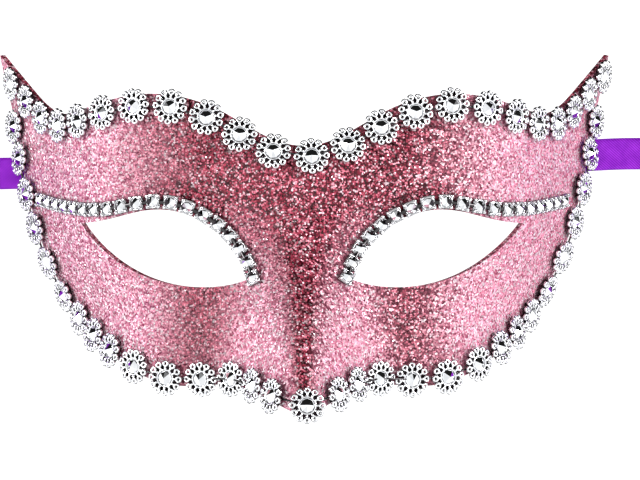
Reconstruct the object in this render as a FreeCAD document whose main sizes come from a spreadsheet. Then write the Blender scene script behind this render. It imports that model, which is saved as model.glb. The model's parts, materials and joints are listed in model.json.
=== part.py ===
"""Venetian masquerade half mask with flower rhinestone trim and ribbon ties, lying face up.

Frame: millimetres, +Z up, +X to the right as one looks at the mask's face, +Y towards the
brow.  The mask rests on the flowers of its side rims, so its own face frame (u across, v up
the face, w out of the face) leans by lean_angle about X.  Left and right in the names are
the sides one sees when looking at the face.
"""
import FreeCAD, Part
import math
import os

Vector = FreeCAD.Vector

doc = FreeCAD.newDocument("venetian_mask")

# ---------------------------------------------------------------------------
# Driving sizes
# ---------------------------------------------------------------------------
SIZES = [
    # the shell's outline, in the face frame
    ("brow_dip_height", 27.5),      # top edge over the nose
    ("brow_height", 43.0),          # top edge at its highest, over each eye
    ("brow_reach", 47.0),           # half distance between the two brow crests
    ("wing_notch_height", 38.0),
    ("wing_notch_reach", 73.5),
    ("wing_tip_height", 57.0),
    ("wing_tip_reach", 93.5),
    ("temple_height", 17.5),
    ("temple_reach", 84.8),
    ("cheek_depth", 42.8),          # lower edge under each eye
    ("cheek_reach", 37.0),
    ("nose_drop", 49.6),            # lower edge at the tip of the nose
    # the sculpted surface
    ("front_curve", 0.0025),
    ("cheek_curve", 0.0020),
    ("side_slope", 1.5),
    ("fold_blend", 7.0),
    ("fold_reach", 61.5),
    ("fold_pinch", 10.0),
    ("ridge_height", 26.0),
    ("ridge_width", 15.0),
    ("brow_swell", 2.0),
    ("socket_hollow", 2.5),
    ("cheek_swell", 2.5),
    ("wing_flare", 0.006),
    ("ribbon_arch", 1.2),
    ("shell_wall", 1.2),
    ("cover_wall", 0.3),
    ("glue_line", 0.1),
    # eye openings
    ("eye_inner_reach", 14.2),
    ("eye_outer_reach", 65.0),
    ("eye_top", 9.0),
    ("eye_bottom", 13.8),
    ("left_eye_shift", 2.2),        # the left opening sits this much further out
    # flower trim
    ("flower_radius", 5.3),
    ("flower_gap", 0.55),           # between two neighbouring flowers
    ("petal_radius", 1.25),
    ("petal_count", 12),
    ("petal_hole_radius", 0.5),
    ("plate_wall", 0.7),
    ("foot_radius", 1.6),
    ("foot_rise", 1.2),
    ("seat_gap", 0.2),
    ("bezel_wall", 0.45),
    ("bezel_rise", 0.9),
    ("stone_radius", 2.2),
    ("stone_rise", 1.5),
    ("stone_clearance", 0.08),
    ("link_width", 0.6),
    ("link_bite", 0.95),
    ("top_inset", 3.5),
    ("side_inset", 2.0),
    ("top_offset", 2.3),            # the flower nearest the nose is this far off centre
    ("side_offset", 0.9),
    ("wing_bare", 8.0),
    ("side_trim_start", 19.0),
    # eye chains
    ("chain_gap", 1.0),             # between two neighbouring cups
    ("cup_wall", 0.32),
    ("cup_rise", 1.3),
    ("cup_foot_rise", 0.6),
    ("prong_radius", 0.4),
    ("prong_rise", 0.6),
    ("prong_inset", 0.1),
    ("chain_stone_radius", 1.7),
    ("chain_stone_rise", 1.1),
    ("chain_link_width", 0.9),
    ("chain_link_bite", 0.3),
    # ribbons
    ("ribbon_width", 10.0),
    ("ribbon_thick", 0.4),
    ("ribbon_gap", 0.3),
    ("rim_arch", 0.024),            # how fast the shell's inside bends away beside a ribbon
    ("tab_length", 14.0),
    ("pad_length", 12.0),
    ("pad_width", 13.0),
    ("pad_thick", 0.8),
    ("pad_beyond", 1.0),
    ("ribbon_drift", 1.2),          # how far a ribbon strays sideways under the rim
    ("right_tie_height", 26.8),     # where each ribbon is glued, up the face
    ("left_tie_height", 21.6),
    ("roll_outer", 29.5),
    ("roll_inner", 18.5),
    ("roll_height", 10.2),
    ("roll_tail", 26.0),
    ("tail_thick", 1.0),
    # resting pose
    ("lean_angle", 14.2),
]

sheet = doc.addObject("Spreadsheet::Sheet", "sizes")
for row, (alias, number) in enumerate(SIZES, start=1):
    sheet.set("A%d" % row, alias)
    sheet.set("B%d" % row, repr(number))
    sheet.setAlias("B%d" % row, alias)
doc.recompute()

values = {alias: float(getattr(sheet, alias)) for alias, _ in SIZES}


def size(alias):
    """One driving size, as the sheet holds it."""
    return values[alias]


# ---------------------------------------------------------------------------
# The sculpted surface, w as a function of u and v
# ---------------------------------------------------------------------------
def smooth(step):
    """0 below 0, 1 above 1, and an easy curve between."""
    step = max(0.0, min(1.0, step))
    return step * step * (3.0 - 2.0 * step)


def hump(place, centre, spread):
    """A bell-shaped swell, 1 at its centre."""
    return math.exp(-((place - centre) / spread) ** 2)


# where each swell of the face lies: its centre and its spread
PINCH_ALONG = (-20.0, 17.0)
BROW_ALONG = (20.0, 9.0)
BROW_HALF_WIDTH = 48.0
SOCKET_ACROSS = (28.0, 15.0)
SOCKET_ALONG = (5.0, 11.0)
CHEEK_ACROSS = (42.0, 20.0)
CHEEK_ALONG = (-27.0, 11.0)
ARCH_ALONG = (23.5, 9.0)
# where each gradual change starts, and the length it takes
NOSE_RISE = (15.0, 66.0)
LOWER_CURVE = (-8.0, 30.0)
WING_ACROSS = (55.0, 30.0)
WING_START = 25.0
ARCH_ACROSS = (70.0, 15.0)
SHIFT_FADE = (50.0, 30.0)


def height(u, v):
    """Height of the shell's front surface out of the face."""
    a = abs(u)
    blend = size("fold_blend")
    fold = size("fold_reach") - size("fold_pinch") * hump(v, *PINCH_ALONG)
    lower = smooth((LOWER_CURVE[0] - v) / LOWER_CURVE[1])
    nose_share = smooth((NOSE_RISE[0] - v) / NOSE_RISE[1])
    wing_share = smooth((a - WING_ACROSS[0]) / WING_ACROSS[1])
    arch_share = smooth((a - ARCH_ACROSS[0]) / ARCH_ACROSS[1])
    w = -size("side_slope") * blend * math.log(1.0 + math.exp((a - fold) / blend))
    w -= (size("front_curve") + size("cheek_curve") * lower) * a * a
    w += size("ridge_height") * nose_share * math.exp(-(a / size("ridge_width")) ** 2.2)
    w += size("brow_swell") * hump(v, *BROW_ALONG) * math.exp(-(a / BROW_HALF_WIDTH) ** 4)
    w -= size("socket_hollow") * hump(a, *SOCKET_ACROSS) * hump(v, *SOCKET_ALONG)
    w += size("cheek_swell") * hump(a, *CHEEK_ACROSS) * hump(v, *CHEEK_ALONG)
    w += size("wing_flare") * max(0.0, v - WING_START) ** 2 * wing_share
    w += size("ribbon_arch") * hump(v, *ARCH_ALONG) * arch_share
    return w


def on_face(u, v):
    return Vector(u, v, height(u, v))


def normal(u, v):
    """Outward normal of the surface."""
    step = 0.02
    slope_u = (height(u + step, v) - height(u - step, v)) / (2 * step)
    slope_v = (height(u, v + step) - height(u, v - step)) / (2 * step)
    return Vector(-slope_u, -slope_v, 1.0).normalize()


def sculpted_face():
    """The surface as one spline patch, larger than the mask all round."""
    margin = 11.0
    reach = size("wing_tip_reach") + margin
    low = -size("nose_drop") - margin
    high = size("wing_tip_height") + margin
    across = 57
    along = 35
    rows = []
    for i in range(across):
        u = -reach + 2.0 * reach * i / (across - 1)
        rows.append([on_face(u, low + (high - low) * j / (along - 1)) for j in range(along)])
    patch = Part.BSplineSurface()
    patch.interpolate(rows)
    return patch.toShape()


# ---------------------------------------------------------------------------
# Outline, in plan
# ---------------------------------------------------------------------------
def spline(points, start=None, end=None):
    """A smooth curve through plan points, with its end directions where given."""
    curve = Part.BSplineCurve()
    options = {"Points": [Vector(u, v, 0) for u, v in points]}
    if start and end:
        options["InitialTangent"] = Vector(start[0], start[1], 0)
        options["FinalTangent"] = Vector(end[0], end[1], 0)
    curve.interpolate(**options)
    return curve


def mirrored(points, side):
    return [(side * u, v) for u, v in points]


def handed(points, side):
    """An eye's line on one side: the left one lies further out, less so at its outer corner."""
    if side > 0:
        return points
    moved = []
    for u, v in points:
        fade = smooth((u - SHIFT_FADE[0]) / SHIFT_FADE[1])
        moved.append((-u - size("left_eye_shift") * (1.0 - fade), v))
    return moved


wing_tip = (size("wing_tip_reach"), size("wing_tip_height"))
brow = (size("brow_reach"), size("brow_height"))
notch = (size("wing_notch_reach"), size("wing_notch_height"))
temple = (size("temple_reach"), size("temple_height"))
cheek = (size("cheek_reach"), -size("cheek_depth"))
nose = (0.0, -size("nose_drop"))
dip = (0.0, size("brow_dip_height"))

TOP_EDGE = [
    dip,
    (0.19 * brow[0], dip[1] + 1.9),
    (0.53 * brow[0], (dip[1] + 2.2 * brow[1]) / 3.2),
    brow,
    (notch[0] - 8.5, notch[1] + 1.2),
    notch,
    ((notch[0] + wing_tip[0]) / 2 - 0.5, (notch[1] + wing_tip[1]) / 2 - 2.3),
    wing_tip,
]
SIDE_EDGE = [
    wing_tip,
    (wing_tip[0] - 4.0, wing_tip[1] - 17.0),
    temple,
    (temple[0] - 6.6, temple[1] - 21.5),
    (temple[0] - 15.2, temple[1] - 38.0),
    (cheek[0] + 18.6, cheek[1] + 7.6),
    cheek,
    (0.53 * cheek[0], cheek[1] + 0.3),
    (0.22 * cheek[0], nose[1] + 3.0),
    nose,
]


def edge_curves(side):
    """Top edge and side edge of one half: side is 1 for +X, -1 for -X."""
    top = spline(mirrored(TOP_EDGE, side), (side, 0), (side * 6.5, 7.4))
    low = spline(mirrored(SIDE_EDGE, side), (side * -1.6, -10), (-side, 0))
    return top, low


def outline_face():
    curves = []
    for side in (1, -1):
        curves += [curve.toShape() for curve in edge_curves(side)]
    return Part.Face(Part.Wire(Part.__sortEdges__(curves)))


def eye_point(share, v):
    """A point of an eye's line, by its share of the way from the inner corner to the outer."""
    inner = size("eye_inner_reach")
    return (inner + share * (size("eye_outer_reach") - inner), v)


eye_top = size("eye_top")
eye_bottom = -size("eye_bottom")
EYE_LOW = [
    eye_point(0.0, eye_bottom + 2.1),
    eye_point(0.13, eye_bottom + 0.4),
    eye_point(0.30, eye_bottom),
    eye_point(0.63, eye_bottom + 3.9),
    eye_point(0.87, eye_bottom + 11.8),
    eye_point(1.0, eye_top - 4.0),
]
EYE_HIGH = [
    eye_point(1.0, eye_top - 4.0),
    eye_point(0.78, eye_top - 2.3),
    eye_point(0.51, eye_top),
    eye_point(0.28, eye_top - 2.9),
    eye_point(0.11, eye_top - 9.6),
    eye_point(0.0, eye_bottom + 2.1),
]


def eye_face(side):
    low = spline(handed(EYE_LOW, side)).toShape()
    high = spline(handed(EYE_HIGH, side)).toShape()
    return Part.Face(Part.Wire([low, high]))


def plan_prism():
    """The mask's outline less its eye openings, as an upright prism right through the surface."""
    plan = outline_face()
    for side in (1, -1):
        plan = plan.cut(eye_face(side))
    beyond = 120.0                  # further than the surface ever rises or falls
    plan.translate(Vector(0, 0, -beyond))
    return plan.extrude(Vector(0, 0, 2 * beyond))


# ---------------------------------------------------------------------------
# Placing things
# ---------------------------------------------------------------------------
lean = FreeCAD.Placement(Vector(0, 0, 0), FreeCAD.Rotation(Vector(1, 0, 0), size("lean_angle")))
FACE_NODES = []


def add_node(name, shape, leans=True):
    """One sub-part whose shape is set here, under its own label."""
    node = doc.addObject("Part::Feature", name)
    node.Label = name
    node.Shape = shape
    if leans:
        FACE_NODES.append(name)
    return node


def seat_frame(u, v, along, rise):
    """A placement standing on the surface: Z along its normal, X along the given direction."""
    out = normal(u, v)
    across = out.cross(along).normalize()
    ahead = across.cross(out).normalize()
    matrix = FreeCAD.Matrix(
        ahead.x, across.x, out.x, 0,
        ahead.y, across.y, out.y, 0,
        ahead.z, across.z, out.z, 0,
        0, 0, 0, 1)
    base = on_face(u, v) + out * rise
    return FreeCAD.Placement(base, FreeCAD.Placement(matrix).Rotation)


def path_points(curves, inset):
    """Points along plan curves, set in from the edge by a length measured on the surface."""
    points = []
    steps = 160
    for curve, inward in curves:
        first = curve.FirstParameter
        last = curve.LastParameter
        for i in range(steps + 1):
            parameter = first + (last - first) * i / steps
            spot = curve.value(parameter)
            ahead = curve.tangent(parameter)[0]
            side = Vector(-ahead.y, ahead.x, 0) * inward
            rise = height(spot.x + 0.1 * side.x, spot.y + 0.1 * side.y) - height(spot.x, spot.y)
            plan = inset / math.hypot(1.0, rise / 0.1)
            spot = spot + side * plan
            if not points or (points[-1] - spot).Length > 1e-6:
                points.append(spot)
    return [on_face(spot.x, spot.y) for spot in points]


def spaced(points, pitch, bare, through=None):
    """Places along a line of points: (point, direction) at an even pitch.

    bare is the length left free at each end, and through a length that one place falls on.
    """
    lengths = [0.0]
    for one, two in zip(points, points[1:]):
        lengths.append(lengths[-1] + (two - one).Length)
    if through is None:
        through = bare
    else:
        through += lengths[-1] / 2
    before = int((through - bare) / pitch + 1e-6)
    after = int((lengths[-1] - bare - through) / pitch + 1e-6)
    places = []
    index = 0
    for k in range(-before, after + 1):
        target = through + pitch * k
        while index < len(lengths) - 2 and lengths[index + 1] < target:
            index += 1
        share = (target - lengths[index]) / (lengths[index + 1] - lengths[index])
        spot = points[index] + (points[index + 1] - points[index]) * share
        ahead = points[min(len(points) - 1, index + 4)] - points[max(0, index - 3)]
        places.append((spot, ahead.normalize()))
    return places


# ---------------------------------------------------------------------------
# Shell and glitter cover
# ---------------------------------------------------------------------------
front_face = sculpted_face().common(plan_prism()).Faces[0]
shell = front_face.makeOffsetShape(-size("shell_wall"), 1e-3, fill=True)
add_node("mask_shell", shell)

cover_base = front_face.makeOffsetShape(size("glue_line"), 1e-3).Faces[0]
cover = cover_base.makeOffsetShape(size("cover_wall"), 1e-3, fill=True)
add_node("glitter_cover", cover)
cover_top = size("glue_line") + size("cover_wall")


# ---------------------------------------------------------------------------
# One flower setting, as a small assembly of primitives
# ---------------------------------------------------------------------------
def primitive(kind, name, **bindings):
    """A Part primitive whose properties follow the sheet."""
    thing = doc.addObject(kind, name)
    for prop, expression in bindings.items():
        thing.setExpression(prop.replace("__", "."), expression)
    return thing


def boolean(kind, name, **inputs):
    thing = doc.addObject(kind, name)
    for prop, value in inputs.items():
        setattr(thing, prop, value)
    return thing


PETAL_RING = "(sizes.flower_radius - sizes.petal_radius)"


def petal_cylinders(prefix, radius, tall):
    """One upright cylinder at each petal."""
    things = []
    count = int(size("petal_count"))
    for k in range(count):
        turn = 360.0 * k / count
        things.append(primitive(
            "Part::Cylinder", "%s_%02d" % (prefix, k + 1),
            Radius=radius, Height=tall,
            Placement__Base__x="%s * cos(%g deg)" % (PETAL_RING, turn),
            Placement__Base__y="%s * sin(%g deg)" % (PETAL_RING, turn),
            Placement__Base__z="sizes.foot_rise"))
    return things


flower_foot = primitive(
    "Part::Cylinder", "flower_foot",
    Radius="sizes.foot_radius", Height="sizes.foot_rise")
flower_plate = primitive(
    "Part::Cylinder", "flower_plate",
    Radius=PETAL_RING, Height="sizes.plate_wall", Placement__Base__z="sizes.foot_rise")
flower_bezel = primitive(
    "Part::Cylinder", "flower_bezel",
    Radius="sizes.stone_radius + sizes.stone_clearance + sizes.bezel_wall",
    Height="sizes.plate_wall + sizes.bezel_rise", Placement__Base__z="sizes.foot_rise")
flower_pocket = primitive(
    "Part::Cylinder", "flower_pocket",
    Radius="sizes.stone_radius + sizes.stone_clearance",
    Height="sizes.plate_wall + sizes.bezel_rise",
    Placement__Base__z="sizes.foot_rise + sizes.plate_wall / 2")
petals = petal_cylinders("petal", "sizes.petal_radius", "sizes.plate_wall")
petal_holes = petal_cylinders("petal_hole", "sizes.petal_hole_radius", "sizes.plate_wall")
flower_blank = boolean(
    "Part::MultiFuse", "flower_blank",
    Shapes=[flower_foot, flower_plate, flower_bezel] + petals)
flower_hollows = boolean("Part::MultiFuse", "flower_hollows", Shapes=[flower_pocket] + petal_holes)
flower_setting = boolean("Part::Cut", "flower_setting", Base=flower_blank, Tool=flower_hollows)

# ---------------------------------------------------------------------------
# One eye chain cup
# ---------------------------------------------------------------------------
CUP_HALF = "(sizes.chain_stone_radius + sizes.stone_clearance + sizes.cup_wall)"
cup_foot = primitive(
    "Part::Cylinder", "cup_foot", Radius="%s * 2 / 3" % CUP_HALF, Height="sizes.cup_foot_rise")
cup_block = primitive(
    "Part::Box", "cup_block",
    Length="2 * %s" % CUP_HALF, Width="2 * %s" % CUP_HALF, Height="sizes.cup_rise",
    Placement__Base__x="-%s" % CUP_HALF, Placement__Base__y="-%s" % CUP_HALF,
    Placement__Base__z="sizes.cup_foot_rise")
cup_pocket = primitive(
    "Part::Cylinder", "cup_pocket",
    Radius="sizes.chain_stone_radius + sizes.stone_clearance", Height="sizes.cup_rise",
    Placement__Base__z="sizes.cup_foot_rise + sizes.cup_rise / 2")
PRONG_REACH = "(%s - sizes.prong_radius - sizes.prong_inset)" % CUP_HALF
prongs = []
for across in (-1, 1):
    for along in (-1, 1):
        prongs.append(primitive(
            "Part::Cylinder", "prong_%d" % (len(prongs) + 1),
            Radius="sizes.prong_radius", Height="sizes.cup_rise + sizes.prong_rise",
            Placement__Base__x="%d * %s" % (across, PRONG_REACH),
            Placement__Base__y="%d * %s" % (along, PRONG_REACH),
            Placement__Base__z="sizes.cup_foot_rise"))
cup_blank = boolean("Part::MultiFuse", "cup_blank", Shapes=[cup_foot, cup_block] + prongs)
chain_cup = boolean("Part::Cut", "chain_cup", Base=cup_blank, Tool=cup_pocket)
doc.recompute()


def cut_stone(radius, rise, base):
    """A stone with eight crown facets and a flat table, standing on its girdle."""
    def ring(reach, z):
        corners = [Vector(reach * math.cos(math.radians(45 * k)),
                          reach * math.sin(math.radians(45 * k)), z) for k in range(9)]
        return Part.makePolygon(corners)
    girdle = base + 0.4 * rise
    body = Part.makeLoft([ring(radius, base), ring(radius, girdle)], True, True)
    crown = Part.makeLoft([ring(radius, girdle), ring(0.55 * radius, base + rise)], True, True)
    return body.fuse(crown)


def link_bar(one, two, reach, rise, width):
    """A round bar from the rim of one setting to the rim of the next, ending inside both."""
    ends = []
    for near, far in ((one, two), (two, one)):
        towards = near.inverse().multVec(far.Base)
        towards = Vector(towards.x, towards.y, 0).normalize() * reach
        ends.append(near.multVec(towards + Vector(0, 0, rise)))
    span = ends[1] - ends[0]
    return Part.makeCylinder(width / 2, span.Length, ends[0], span)


def strip(setting, frames, reach, rise, width):
    """Settings on their frames, each joined to the next by a bar: one moulded piece."""
    pieces = []
    for frame in frames:
        copy = setting.copy()
        copy.Placement = frame
        pieces.append(copy)
    for one, two in zip(frames, frames[1:]):
        pieces.append(link_bar(one, two, reach, rise, width))
    return pieces[0].multiFuse(pieces[1:])


def stones(stone, frames):
    pieces = []
    for frame in frames:
        copy = stone.copy()
        copy.Placement = frame
        pieces.append(copy)
    return Part.makeCompound(pieces)


# ---------------------------------------------------------------------------
# Flower trims along the top edge and round the sides and lower edge
# ---------------------------------------------------------------------------
right_top, right_low = edge_curves(1)
left_top, left_low = edge_curves(-1)


def reversed_curve(curve):
    copy = curve.copy()
    copy.reverse()
    return copy


top_line = path_points([(reversed_curve(left_top), -1), (right_top, -1)], size("top_inset"))
low_line = path_points([(left_low, 1), (reversed_curve(right_low), 1)], size("side_inset"))

plate_middle = size("foot_rise") + size("plate_wall") / 2
flower_stone = cut_stone(size("stone_radius"), size("stone_rise"), plate_middle)


def flower_frames(line, bare, offset):
    frames = []
    pitch = 2 * size("flower_radius") + size("flower_gap")
    for spot, ahead in spaced(line, pitch, bare, offset):
        frames.append(seat_frame(spot.x, spot.y, ahead, cover_top + size("seat_gap")))
    return frames


TRIMS = {
    "top_trim": flower_frames(top_line, size("wing_bare"), size("top_offset")),
    "side_trim": flower_frames(low_line, size("side_trim_start"), size("side_offset")),
}
for name, frames in TRIMS.items():
    print(name, len(frames), "flowers")
    band = strip(flower_setting.Shape, frames, size("flower_radius") - size("link_bite"),
                 plate_middle, size("link_width"))
    add_node(name, band)
    add_node(name + "_stones", stones(flower_stone, frames))

# ---------------------------------------------------------------------------
# Rhinestone chains over the eyes
# ---------------------------------------------------------------------------
eye_in = size("eye_inner_reach")
eye_out = size("eye_outer_reach")
CHAIN_LINE = [
    (eye_in - 2.3, eye_bottom + 2.5),
    (eye_in, eye_bottom + 8.2),
    eye_point(0.12, eye_top - 6.6),
    eye_point(0.29, eye_top - 0.3),
    eye_point(0.49, eye_top + 2.6),
    eye_point(0.74, eye_top + 0.9),
    (eye_out - 3.0, eye_top + 0.2),
    (eye_out + 5.0, eye_top + 1.2),
    (eye_out + 14.2, eye_top + 3.4),
]
cup_width = cup_block.Length.Value
cup_middle = size("cup_foot_rise") + size("cup_rise") / 2
chain_stone = cut_stone(size("chain_stone_radius"), size("chain_stone_rise"), cup_middle)


def chain_frames(side):
    line = path_points([(spline(handed(CHAIN_LINE, side)), 1)], 0.0)
    frames = []
    for spot, ahead in spaced(line, cup_width + size("chain_gap"), 0.0):
        frames.append(seat_frame(spot.x, spot.y, ahead, cover_top + size("seat_gap")))
    return frames


for hand, side in (("right", 1), ("left", -1)):
    frames = chain_frames(side)
    print(hand, "chain", len(frames), "cups")
    band = strip(chain_cup.Shape, frames, cup_width / 2 - size("chain_link_bite"),
                 cup_middle - size("cup_rise") / 4, size("chain_link_width"))
    add_node(hand + "_eye_chain", band)
    add_node(hand + "_eye_chain_stones", stones(chain_stone, frames))


def rim_spot(tie_height, side):
    """The place on the mask's side rim at a height up the face."""
    steps = 400
    curve = right_low
    best = None
    for i in range(steps + 1):
        share = 0.5 * i / steps         # the wing's and the temple's half of the side edge
        span = curve.LastParameter - curve.FirstParameter
        spot = curve.value(curve.FirstParameter + span * share)
        if best is None or abs(spot.y - tie_height) < abs(best.y - tie_height):
            best = spot
    return lean.multVec(on_face(side * best.x, best.y))


# ---------------------------------------------------------------------------
# The resting pose: everything on the shell leans, the lowest flower meets the table, and the
# mask stands centred over the origin
# ---------------------------------------------------------------------------
extent = FreeCAD.BoundBox()
for name in ("glitter_cover", "top_trim", "side_trim"):
    leaning = doc.getObject(name).Shape.copy()
    leaning.Placement = lean
    extent.add(leaning.optimalBoundingBox(True))
lift = -extent.ZMin
COLUMN_SIZE = 20.0                      # mm, wide and tall enough for the rim flowers over one ribbon
for side, tie_height in ((1, size("right_tie_height")), (-1, size("left_tie_height"))):
    # a flower over a ribbon lies on the ribbon, not on the table
    strip_width = size("ribbon_width") + 2 * size("ribbon_gap") + size("ribbon_drift")
    under = rim_spot(tie_height, side)
    corner = Vector(min(under.x, under.x + side * COLUMN_SIZE), under.y - strip_width / 2,
                    extent.ZMin)
    column = Part.makeBox(COLUMN_SIZE, strip_width, COLUMN_SIZE, corner)
    over = leaning.common(column)
    if over.Solids:
        lift = max(lift, size("ribbon_thick") + size("ribbon_gap") - over.optimalBoundingBox(True).ZMin)
lean.Base = Vector(-extent.Center.x, -extent.Center.y, lift)
for name in FACE_NODES:
    doc.getObject(name).Placement = lean
print("lean base", lean.Base, "extent", extent)

# ---------------------------------------------------------------------------
# Ribbon ties
# ---------------------------------------------------------------------------
def table_point(u, y):
    """The surface's point across at u and at y on the table, in the resting pose."""
    v = y
    for _ in range(40):
        v += y - lean.multVec(on_face(u, v)).y
    return lean.multVec(on_face(u, v))


def flat_tube(points):
    """A flat cord along straight runs joined by tangent arcs, its broad face level."""
    edges = []
    last = points[0]
    for k in range(1, len(points) - 1):
        before = points[k - 1]
        corner = points[k]
        after = points[k + 1]
        run_in = (corner - before)
        run_out = (after - corner)
        turn = run_in.getAngle(run_out)
        trim = 0.45 * min(run_in.Length, run_out.Length)
        radius = trim / math.tan(turn / 2)
        print("  ribbon arc radius %.0f mm, turn %.1f degrees" % (radius, math.degrees(turn)))
        start = corner - run_in.normalize() * trim
        end = corner + run_out.normalize() * trim
        bisector = ((start + end) / 2 - corner).normalize()
        middle = corner + bisector * (radius / math.cos(turn / 2) - radius)
        edges.append(Part.LineSegment(last, start).toShape())
        edges.append(Part.Arc(start, middle, end).toShape())
        last = end
    edges.append(Part.LineSegment(last, points[-1]).toShape())
    length = sum(edge.Length for edge in edges)
    path = Part.Wire(edges)
    ahead = (points[1] - points[0]).normalize()
    across = Vector(-ahead.y, ahead.x, 0) * (size("ribbon_width") / 2)
    up = Vector(0, 0, size("ribbon_thick") / 2)
    corners = [points[0] + across + up, points[0] - across + up,
               points[0] - across - up, points[0] + across - up]
    section = Part.makePolygon(corners + corners[:1])
    tube = path.makePipeShell([section], True, False)
    print("  ribbon tube volume %.2f, section times length %.2f"
          % (tube.Volume, size("ribbon_width") * size("ribbon_thick") * length))
    return tube


flat_height = size("ribbon_thick") / 2
RIBBONS = {
    # side, height up the face, route beyond the hinge: (outwards, along Y)
    "right": (1, size("right_tie_height"), [(11.0, 0.6), (23.0, 0.6)]),
    "left": (-1, size("left_tie_height"), [(6.5, -0.3), (14.0, -0.3)]),
}
for hand, (side, tie_height, route) in RIBBONS.items():
    rim = rim_spot(tie_height, side)
    run = 6.0
    high = table_point(rim.x - side * run, rim.y)
    slope = math.atan2(high.z - rim.z, run)
    arch = size("rim_arch") * (size("ribbon_width") / 2) ** 2
    depth = size("shell_wall") + size("ribbon_gap") + arch + size("ribbon_thick") / 2
    inward = Vector(-side * math.sin(slope), 0, -math.cos(slope))
    downhill = Vector(side * math.cos(slope), 0, -math.sin(slope))
    inside = rim + inward * depth
    hinge = inside + downhill * ((inside.z - flat_height) / math.sin(slope))
    print("%s hinge (%.3f, %.3f, %.3f), slope %.1f degrees"
          % (hand, hinge.x, hinge.y, hinge.z, math.degrees(slope)))

    points = [hinge] + [hinge + Vector(side * out, along, 0) for out, along in route]
    add_node(hand + "_ribbon", flat_tube(points), False)

    # the glued end: its own flat piece up the inside of the shell, under a pad
    uphill = downhill * -1
    across = inward.cross(uphill)
    matrix = FreeCAD.Matrix(
        uphill.x, across.x, inward.x, 0,
        uphill.y, across.y, inward.y, 0,
        uphill.z, across.z, inward.z, 0,
        0, 0, 0, 1)
    turned = FreeCAD.Placement(matrix).Rotation
    tab = primitive(
        "Part::Box", hand + "_ribbon_end",
        Length="sizes.tab_length", Width="sizes.ribbon_width", Height="sizes.ribbon_thick")
    corner = hinge + uphill * size("ribbon_gap") - across * (size("ribbon_width") / 2)
    tab.Placement = FreeCAD.Placement(corner - inward * (size("ribbon_thick") / 2), turned)
    pad = primitive(
        "Part::Box", hand + "_ribbon_pad",
        Length="sizes.pad_length", Width="sizes.pad_width", Height="sizes.pad_thick")
    pad_start = size("tab_length") - size("pad_length") + size("pad_beyond")
    corner = hinge + uphill * pad_start - across * (size("pad_width") / 2)
    pad.Placement = FreeCAD.Placement(corner + inward * (size("ribbon_thick") / 2), turned)

    # the put-away length: a neat roll standing on the ribbon's edge
    tail_start = points[-1]
    tail = Part.makeBox(size("roll_tail"), size("tail_thick"), size("roll_height"),
                        Vector(min(tail_start.x, tail_start.x + side * size("roll_tail")),
                               tail_start.y - size("tail_thick") / 2, 0))
    centre = Vector(tail_start.x + side * size("roll_tail"),
                    tail_start.y + size("tail_thick") / 2 - size("roll_outer"), 0)
    ring = Part.makeCylinder(size("roll_outer"), size("roll_height"), centre)
    ring = ring.cut(Part.makeCylinder(size("roll_inner"), size("roll_height"), centre))
    add_node(hand + "_ribbon_roll", ring.fuse(tail), False)
    print("  roll centre (%.3f, %.3f)" % (centre.x, centre.y))

doc.recompute()

# ---------------------------------------------------------------------------
# Check and write
# ---------------------------------------------------------------------------
NODES = ["mask_shell", "glitter_cover"]
for name in TRIMS:
    NODES += [name, name + "_stones"]
for hand in RIBBONS:
    NODES += [hand + "_eye_chain", hand + "_eye_chain_stones"]
    NODES += [hand + "_ribbon", hand + "_ribbon_end", hand + "_ribbon_pad", hand + "_ribbon_roll"]

for thing in doc.Objects:
    if "Invalid" in thing.State or "Error" in thing.State:
        raise RuntimeError("%s failed: %s" % (thing.Name, thing.State))
os.makedirs("parts", exist_ok=True)
for name in NODES:
    node = doc.getObjectsByLabel(name)[0]
    if node.Shape.isNull() or not node.Shape.isValid():
        raise RuntimeError(name + " has no sound shape")
for name in NODES:
    node = doc.getObjectsByLabel(name)[0]
    box = node.Shape.optimalBoundingBox(True)
    print("%-24s solids %3d  volume %9.2f  z %.2f to %.2f"
          % (name, len(node.Shape.Solids), node.Shape.Volume, box.ZMin, box.ZMax))
    node.Shape.exportStep("parts/%s.step" % name)
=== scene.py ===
"""Half-face masquerade mask: glitter front, silver flower and stone trims, eye chains, satin ties."""

import json
import math
import random

import bmesh
import bpy
from mathutils import Matrix, Vector


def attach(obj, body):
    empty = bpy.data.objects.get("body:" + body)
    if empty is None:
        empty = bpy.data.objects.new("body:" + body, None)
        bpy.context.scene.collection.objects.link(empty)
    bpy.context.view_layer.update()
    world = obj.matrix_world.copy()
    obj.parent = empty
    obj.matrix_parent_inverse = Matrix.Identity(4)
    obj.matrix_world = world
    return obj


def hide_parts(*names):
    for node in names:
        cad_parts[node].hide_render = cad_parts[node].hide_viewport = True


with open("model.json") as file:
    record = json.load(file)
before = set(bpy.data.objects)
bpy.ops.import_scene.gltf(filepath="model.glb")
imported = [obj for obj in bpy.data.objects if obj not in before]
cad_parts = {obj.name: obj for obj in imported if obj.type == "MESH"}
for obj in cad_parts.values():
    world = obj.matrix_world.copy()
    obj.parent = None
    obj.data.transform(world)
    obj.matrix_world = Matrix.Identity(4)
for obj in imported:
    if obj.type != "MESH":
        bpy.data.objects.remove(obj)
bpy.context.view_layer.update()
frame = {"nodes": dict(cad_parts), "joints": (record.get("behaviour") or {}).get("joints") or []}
nodes = frame["nodes"]
MM = 0.001

# The mask lies on the flowers of its side rims, so its own face frame leans about X:
# u across the face, v up it and w out of it.
LEAN = math.radians(14.2)
FACE_BASE = Vector((-0.49, -6.485, 51.125)) * MM
FACE_TURN = Matrix.Rotation(LEAN, 3, "X")


def on_face(u, v, w):
    """A place given in the face frame, in millimetres, as a place in the mask's frame."""
    return FACE_BASE + FACE_TURN @ (Vector((u, v, w)) * MM)


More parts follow.
